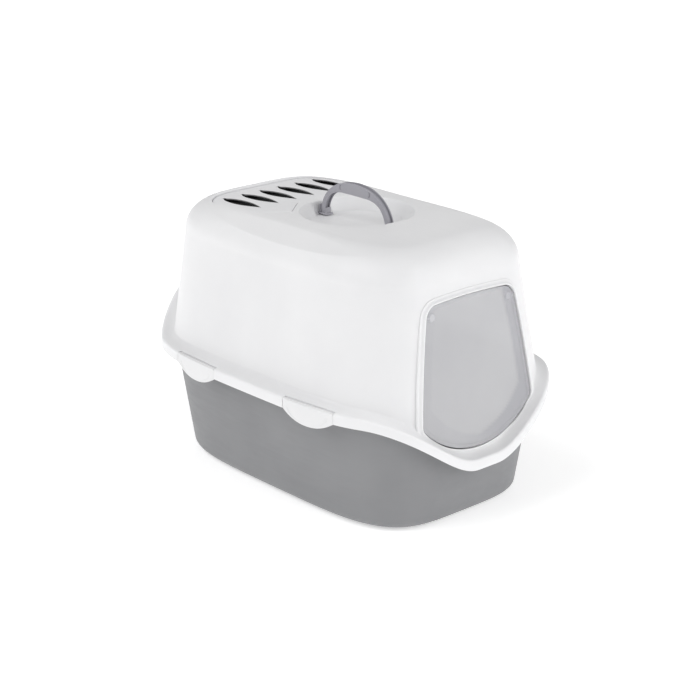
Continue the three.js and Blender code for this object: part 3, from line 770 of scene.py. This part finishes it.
def clip_plate(seat):
    """The clip: a curved plate with a half-round tongue, a pressed arc and a hinge bead on top."""
    half = seat["half"] - 0.55
    loop = [(half * s, 0.3 - CLIP["drop"] * (1 - abs(s) ** 2.2)) for s in np.linspace(-1, 1, 61)]
    loop += [(half, 13.6), (-half, 13.6)]
    loop = resample(loop, 1.4)

    def place(u, v, w):
        s = u / seat["half"]
        bulge = seat["bulge"] * (1 - s * s)
        front = np.clip((w + 0.9) / 0.9, 0, 1)
        # Distance from a flat arc inside the tongue, pressed in as a shallow groove.
        arc_x, arc_v = u / (half * 0.78), (v - 5.0) / 15.5
        ring = np.sqrt(arc_x ** 2 + arc_v ** 2)
        groove = -0.9 * np.exp(-((ring - 1) / 0.035) ** 2)
        groove = groove * smooth((v + 12) / 8) * smooth((7.0 - v) / 2)
        pillow = 0.7 * smooth((1 - ring) / 0.5)
        lift = front * (groove + pillow * 0.6 - 0.25)
        return on_seat(seat, u, -(bulge + w + lift), v)

    profile = edge_profile(CLIP["thickness"], 0.9, 0.6)
    body = plate(loop, [], profile, place, 1.2, 8.0)
    across = np.array([math.cos(seat["turn"]), math.sin(seat["turn"]), 0])
    inward = np.array([-across[1], across[0], 0])
    centre = on_seat(seat, np.array([0.0]), np.array([CLIP["inset"]]), np.array([CLIP["axis"]]))[0]
    length = half
    barrel = [(2.2, -length), (2.6, -length + 0.15), (2.8, -length + 0.6), (2.8, length - 0.6),
              (2.6, length - 0.15), (2.2, length)]
    pin = [(0.8, -length - 2.8), (1.1, -length - 2.5), (1.1, length + 2.5), (0.8, length + 2.8)]
    up = np.array([0, 0, 1.0])
    parts = [body, turned(barrel, centre, inward, up, 28), turned(pin, centre, inward, up, 20)]
    # A thin rolled lip in front of the barrel carries the bright hinge line.
    n = 41
    rows = []
    for i in range(n):
        x = mix(-half + 0.4, half - 0.4, i / (n - 1))
        s = x / seat["half"]
        out = seat["bulge"] * (1 - s * s)
        ring = []
        for k in range(14):
            a = k / 14 * TAU
            ring.append((x, -out + 0.95 + 1.15 * math.sin(a), 13.9 + 1.6 * math.cos(a)))
        ring = np.array(ring)
        rows.append(on_seat(seat, ring[:, 0], ring[:, 1], ring[:, 2]))
    parts.append(loft(rows, rows[0].mean(0), rows[-1].mean(0)))
    return joined(parts)


def clip_notch(seat):
    """What is cut from the hood's skirt for one clip."""
    half = seat["half"]
    loop = [(-half, -20), (half, -20), (half, CLIP["notch"]), (-half, CLIP["notch"])]
    return plate(np.array(loop, float), [], [(0, 22), (0, -38)],
                 lambda x, y, z: on_seat(seat, x, y, z))


seats = {
    "clip_left_front": clip_seat(-1, CLIP["front"]),
    "clip_left_rear": clip_seat(-1, CLIP["rear"]),
    "clip_right_front": clip_seat(1, CLIP["front"]),
    "clip_right_rear": clip_seat(1, CLIP["rear"]),
}

# ------------------------------------------------------------------ vent cover, pocket and filter


def cover_loop(step=3.0):
    right = COVER["corners"]
    left = [(-x, y, r) for x, y, r in reversed(right)]
    return resample(round_loop([*right, *left], 14), step)


def slot_loop(index):
    """One leaf-shaped slot: a point at the front, widest in the middle, a short stem at the rear."""
    place = index - (SLOT["count"] - 1) / 2
    t = np.concatenate([np.linspace(0, 0.1, 5), np.linspace(0.14, 0.8, 18),
                        np.linspace(0.83, 0.945, 7), [0.955, 1]])
    front = np.sin(math.pi / 2 * np.minimum(t / 0.56, 1)) ** 0.95
    rear = np.sqrt(np.clip(1 - ((t - 0.56) / 0.39) ** 2, 0, 1))
    leaf = SLOT["half"] * np.where(t < 0.56, front, rear)
    half = np.where(t > 0.85, np.maximum(leaf, SLOT["stem"]), np.maximum(leaf, 0.4))
    x = place * mix(SLOT["front_pitch"], SLOT["rear_pitch"], t)
    y = mix(SLOT["front"], SLOT["rear"], t)
    return np.concatenate([np.stack([x + half, y], 1), np.stack([x - half, y], 1)[::-1]])


def tilted_top(tree, x, y, lower):
    """Height of the hood's top skin, turned down towards the back, at a point in plan."""
    c, s = math.cos(COVER["tilt"]), math.sin(COVER["tilt"])
    z = np.zeros(len(x))
    for i in range(len(x)):
        height = TOP
        for _ in range(3):
            # The skin point that turns onto this plan point.
            source_y = COVER["pivot"] + (y[i] - COVER["pivot"]) / c
            source_y += (height - TOP) * math.tan(COVER["tilt"])
            hit = tree.ray_cast(Vector((x[i], source_y, ABOVE_ALL)), Vector((0, 0, -1)))[0]
            height = hit.z if hit else height
        z[i] = TOP + (height - TOP) * c + (y[i] - COVER["pivot"]) * s
    return z - lower


# ------------------------------------------------------------------ carry handle

def smooth_curve(points, count):
    """A Catmull-Rom curve through 2-D points, evenly sampled by parameter."""
    p = np.array(points, float)
    ends = np.vstack([2 * p[0] - p[1], p, 2 * p[-1] - p[-2]])
    out = []
    for i in range(count + 1):
        t = i / count * (len(p) - 1)
        k = min(int(t), len(p) - 2)
        f = t - k
        a, b, c, d = ends[k:k + 4]
        out.append(0.5 * (2 * b + (c - a) * f + (2 * a - 5 * b + 4 * c - d) * f ** 2
                          + (3 * b - a - 3 * c + d) * f ** 3))
    return np.array(out)


def arch(half):
    points = list(half) + [(-x, y) for x, y in reversed(half[:-1])]
    return smooth_curve(points, 96)


def shifted(curve, distance):
    """Moves an open curve sideways; positive is towards the middle of the arch."""
    d = np.gradient(curve, axis=0)
    d /= np.linalg.norm(d, axis=1)[:, None]
    distance = np.broadcast_to(np.asarray(distance), (len(curve),))
    return curve + np.stack([-d[:, 1], d[:, 0]], 1) * distance[:, None]


def on_handle(u, v, w):
    return np.stack([w + 0 * u, DISH["y"] + u, AXIS + v], 1)


def handle_parts():
    """The handle's grip, two rims, feet and pins, as overlapping closed solids."""
    outer, inner = arch(HANDLE_OUTER), arch(HANDLE_INNER)
    on_leg = smooth((np.abs(inner[:, 0]) - 38) / 10)
    low_out = shifted(outer, 3.2)
    low_in = shifted(inner, -3.0 * on_leg)

    def band(a, b, w0, w1):
        loop = np.concatenate([a, b[::-1]])
        return plate(loop, [], [(0, w1), (0, w0)], on_handle)

    parts = [band(outer, inner, -5.0, -3.6), band(outer, inner, 3.6, 5.0),
             band(low_out, low_in, -4.0, 4.0)]
    for end in (-1, 1):
        # Foot: a barrel round the pin, a base bar and an upright prong behind it.
        def box(y0, y1, z0, z1, x):
            loop = np.array([(y0, z0), (y1, z0), (y1, z1), (y0, z1)], float)
            if end < 0:
                loop = np.array([(-b, z) for b, z in loop])[::-1]
            return plate(loop, [], [(0, x), (0, -x)], on_handle)
        parts.append(box(60.0, 69.0, -5.6, 3.0, 4.6))
        parts.append(box(57.5, 75.6, -6.8, -4.4, 6.6))
        parts.append(box(72.6, 75.6, -6.8, 7.0, 4.6))
        parts.append(box(70.0, 75.6, -6.8, -1.0, 3.0))
        centre = np.array([0.0, DISH["y"] + end * 60.5, AXIS])
        axes = ((0, 0, 1.0), (1.0, 0, 0)) if end > 0 else ((1.0, 0, 0), (0, 0, 1.0))
        parts.append(turned([(3.8, 0), (4.2, 0.4), (4.2, 9.4), (3.8, 9.8)], centre, *axes, sides=36))
        parts.append(turned([(2.3, 9), (2.5, 9.5), (2.5, 17.0), (2.1, 17.5)], centre, *axes, sides=24))
    return parts


def handle_object():
    """The handle's parts fused into one skin, softened at the edges, with pressed marks."""
    obj = mesh_object("carry_handle_grip", joined(handle_parts()), handle_grey)
    remesh = obj.modifiers.new("remesh", "REMESH")
    remesh.mode, remesh.voxel_size, remesh.adaptivity = "VOXEL", 0.00045, 0.0
    soften = obj.modifiers.new("soften", "SMOOTH")
    soften.factor, soften.iterations = 0.5, 5
    graph = bpy.context.evaluated_depsgraph_get()
    mesh = bpy.data.meshes.new_from_object(obj.evaluated_get(graph))
    old = obj.data
    obj.modifiers.clear()
    obj.data = mesh
    bpy.data.meshes.remove(old)
    mesh.name = obj.name
    # Two crescent marks, pressed into each flat side of the grip.
    co = np.empty(len(mesh.vertices) * 3)
    mesh.vertices.foreach_get("co", co)
    co = co.reshape(-1, 3)
    y, z = co[:, 1] / MM - DISH["y"], co[:, 2] / MM - AXIS
    side = np.abs(co[:, 0] / MM)
    for sign in (-1, 1):
        across = y - sign * MARK["u"]
        above = z - MARK["v"]
        ring = np.hypot(across + sign * MARK["shift"], above) - MARK["radius"]
        mark = np.exp(-(ring / MARK["width"]) ** 2)
        mark *= (np.abs(above) < MARK["reach"]) * (sign * across > -MARK["back"])
        mark *= side > MARK["side"]
        co[:, 0] -= np.sign(co[:, 0]) * MARK["depth"] * mark * MM
    mesh.vertices.foreach_set("co", co.ravel())
    mesh.shade_smooth()
    return obj


# ------------------------------------------------------------------ the pieces

def place_piece(obj, body, slot, *nodes):
    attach(obj, body)
    if nodes:
        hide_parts(*nodes)
    return obj


hood = mesh_object("hood_shell", hood_shell(), white)
skin = BVHTree.FromPolygons([v.co / MM for v in hood.data.vertices],
                            [tuple(p.vertices) for p in hood.data.polygons])

# The tub under the vent cover is joined on, then the recess, pocket and grille are cut.
loop = cover_loop()
tub_bottom = POCKET["floor"] - POCKET["thickness"]


def plain_top(x, y):
    """Height of the hood's top skin, before the recess is cut."""
    down = Vector((0, 0, -1))
    return np.array([skin.ray_cast(Vector((a, b, ABOVE_ALL)), down)[0].z for a, b in zip(x, y)])


def tub_place(x, y, w):
    """w is 1 on the upper face, which lies inside the shell, and 0 on the underside."""
    z = plain_top(x, y) - TUB_SINK if w[0] == 1 else np.full(len(x), tub_bottom)
    return straight(x, y, z)


boolean(hood, "UNION", plate(offset_loop(loop, WALL), [], [(0, 1.0), (0, 0.0)], tub_place, 9.0))
boolean(hood, "UNION", door_bead())


def recess_place(x, y, w):
    """w is 3 far above, 2 and 1 at the top and foot of a chamfer, and 0 on the recess floor."""
    if w[0] == 3:
        z = np.full(len(x), CUT_TOP)
    elif w[0] > 0:
        z = plain_top(x, y) + (0.3 if w[0] == 2 else -0.8)
    else:
        z = tilted_top(skin, x, y, COVER["thickness"] + COVER["gap"])
    return straight(x, y, z)


recess = plate(loop, [], [(-0.9, 3), (-0.9, 2), (0, 1), (0, 0)], recess_place, None, 9.0)
opening = door_cutter()
boolean(hood, "DIFFERENCE", joined([recess, opening] + [clip_notch(s) for s in seats.values()]))
pocket_loop = offset_loop(loop, -COVER["ledge"])
boolean(hood, "DIFFERENCE", plate(pocket_loop, [], [(0, CUT_TOP), (0, POCKET["floor"])], straight))
grille = []
for i in range(-4, 5):
    front = 92 if abs(i) < 3 else 68
    left, right = i * 20 - 5, i * 20 + 5
    corners = [(left, front, 4.9), (right, front, 4.9), (right, 172, 4.9), (left, 172, 4.9)]
    grille.append(plate(np.array(round_loop(corners, 5)), [],
                        [(0, tub_bottom + 10), (0, tub_bottom - 5)], straight))
boolean(hood, "DIFFERENCE", joined(grille))
tidy_edges(hood, 32)
place_piece(hood, "hood", "hood_plastic", "hood")

# Tray.
under = TRAY["foot"]
floor_top = under + WALL
rnd = TRAY["round"]
flange = TRAY["flange_top"] - TRAY["flange"]


def tray_wall(inset, below, fractions):
    return [tray_row(mix(30, rim_z + below, t), inset) for t in fractions]


tray_rows = []
for k in range(8):
    a = k / 7 * math.pi / 2
    tray_rows.append(tray_row(under + rnd * (1 - math.cos(a)), rnd * (1 - math.sin(a))))
tray_rows += tray_wall(0, flange - 4, np.linspace(0, 1, 9))
tray_rows += tray_wall(-0.5, flange - 1.2, [1]) + tray_wall(-2.4, flange, [1])
flange_top, inset = TRAY["flange_top"], TRAY["inset"]
tray_rows += [rim_row(inset + 0.6, flange), rim_row(inset, flange + 0.6),
              rim_row(inset, flange_top - 0.6), rim_row(inset + 0.6, flange_top)]
tray_rows += tray_wall(WALL - 1.2, flange_top, [1]) + tray_wall(WALL, flange_top - 1.2, [1])
tray_rows += tray_wall(WALL, flange_top - 5, np.linspace(0.98, 0, 7))
for k in range(7):
    a = (1 - k / 6) * math.pi / 2
    tray_rows.append(tray_row(floor_top + rnd * (1 - math.cos(a)), WALL + rnd * (1 - math.sin(a))))
tray_parts = [loft(tray_rows, (0, 0, under), (0, 0, floor_top))]
for sx in (-1, 1):
    for sy in (-1, 1):
        x, y = sx * FOOT["x"], sy * FOOT["y"]
        hx, hy, r = FOOT["half_x"], FOOT["half_y"], FOOT["round"]
        pad = round_loop([(x - hx, y - hy, r), (x + hx, y - hy, r),
                          (x + hx, y + hy, r), (x - hx, y + hy, r)], 8)
        rows = edge_profile(under + 1, 0.1, 0.8, top=under + 1)
        tray_parts.append(plate(np.array(pad), [], rows, straight))
tray = mesh_object("tray_shell", tray_parts[0], tray_grey)
boolean(tray, "UNION", joined(tray_parts[1:]))
tidy_edges(tray, 40)
place_piece(tray, "tray", "tray_plastic", "base_tray")

# Clips.
for name, seat in seats.items():
    clip = mesh_object(name + "_latch", clip_plate(seat), clip_white, 50)
    place_piece(clip, name, "clip_plastic", name)

# Door flap.
flap = mesh_object("door_flap_pane", door_flap(), smoky, 40)
store_painted_shade(flap)
place_piece(flap, "door", "door_plastic", "door_flap")

# Vent cover.
slots = [slot_loop(i) for i in range(SLOT["count"])]


def cover_place(x, y, w):
    return straight(x, y, tilted_top(skin, x, y, 0) + w)


# The slots' edges are rounded on top and open out below.
slot_edge = [(0.45, 0.0), (0.2, -0.08), (0.05, -0.25), (0.0, -0.5), (0.1, -0.75),
             (1.6, -COVER["thickness"])]
cover_data = plate(offset_loop(loop, -1.0), slots, edge_profile(COVER["thickness"], 0.9, 0.2, 3),
                   cover_place, 7.0, 14.0, slot_edge)
cover = mesh_object("vent_cover_plate", cover_data, cover_white, 50)
place_piece(cover, "vent", "cover_plastic", "vent_cover")

# Carbon filter pad.
pad_loop = offset_loop(pocket_loop, -1.0)


def pad_place(x, y, w):
    lump = 0.35 * np.sin(x * 0.31 + 1.3) * np.sin(y * 0.27) * (w > POCKET["floor"] + 10)
    return straight(x, y, w - np.abs(lump))


filter_top = POCKET["floor"] + COVER["gap"] + 12.0
pad_data = plate(pad_loop, [], edge_profile(12.0, 1.6, 0.8, top=filter_top), pad_place, 4.0)
pad = mesh_object("carbon_filter_pad", pad_data, fibre, 60)
place_piece(pad, "vent", "filter_foam", "carbon_filter")

# Carry handle.
handle = handle_object()
place_piece(handle, "handle", "handle_plastic", "carry_handle")

# ------------------------------------------------------------------ floor, light and camera

scene = bpy.context.scene
bpy.ops.mesh.primitive_plane_add(size=40)
ground = bpy.context.object
ground.name = "studio_floor"
mat, nodes, links, shader = new_material("studio_floor", Roughness=0.9,
                                         Emission_Color=(1, 1, 1, 1), Emission_Strength=0.40)
links.new(ramp(nodes, links, noise(nodes, links, 3.0), (0.93, 0.93, 0.93), (0.95, 0.95, 0.95)),
          shader.inputs["Base Color"])
ground.data.materials.append(mat)

world = bpy.data.worlds.new("studio")
scene.world = world
world.use_nodes = True
wnodes, wlinks = world.node_tree.nodes, world.node_tree.links
ambient = wnodes["Background"]
ambient.inputs["Color"].default_value = (1, 1, 1, 1)
ambient.inputs["Strength"].default_value = 0.46
# The backdrop itself is plain white, brighter than the light that it gives.
backdrop = wnodes.new("ShaderNodeBackground")
backdrop.inputs["Color"].default_value = (1, 1, 1, 1)
backdrop.inputs["Strength"].default_value = 1.0
seen = wnodes.new("ShaderNodeLightPath")
choose = wnodes.new("ShaderNodeMixShader")
wlinks.new(seen.outputs["Is Camera Ray"], choose.inputs["Fac"])
wlinks.new(ambient.outputs["Background"], choose.inputs[1])
wlinks.new(backdrop.outputs["Background"], choose.inputs[2])
wlinks.new(choose.outputs["Shader"], wnodes["World Output"].inputs["Surface"])


def soft_sun(name, direction, strength, spread):
    """A wide, distant soft light; direction points from the object to the light."""
    light = bpy.data.lights.new(name, "SUN")
    light.energy, light.angle = strength, math.radians(spread)
    obj = bpy.data.objects.new(name, light)
    scene.collection.objects.link(obj)
    obj.rotation_euler = Vector(direction).to_track_quat("Z", "Y").to_euler()


soft_sun("left", (-0.80, 0.40, 0.80), strength=1.30, spread=55)
soft_sun("front", (0.36, -0.92, 0.50), strength=1.26, spread=50)

camera = bpy.data.objects.new("camera", bpy.data.cameras.new("camera"))
scene.collection.objects.link(camera)
scene.camera = camera
azimuth, elevation, distance = math.radians(-42.11), math.radians(19.41), 2.60548
target = Vector((-0.00004, 0.00059, 0.17645))
back = Vector((math.sin(azimuth) * math.cos(elevation), -math.cos(azimuth) * math.cos(elevation),
               math.sin(elevation)))
camera.location = target + back * distance
camera.rotation_euler = back.to_track_quat("Z", "Y").to_euler()
camera.data.sensor_width = 36.0
camera.data.lens = 92.904
camera.data.clip_end = 100

scene.view_settings.view_transform = "Standard"
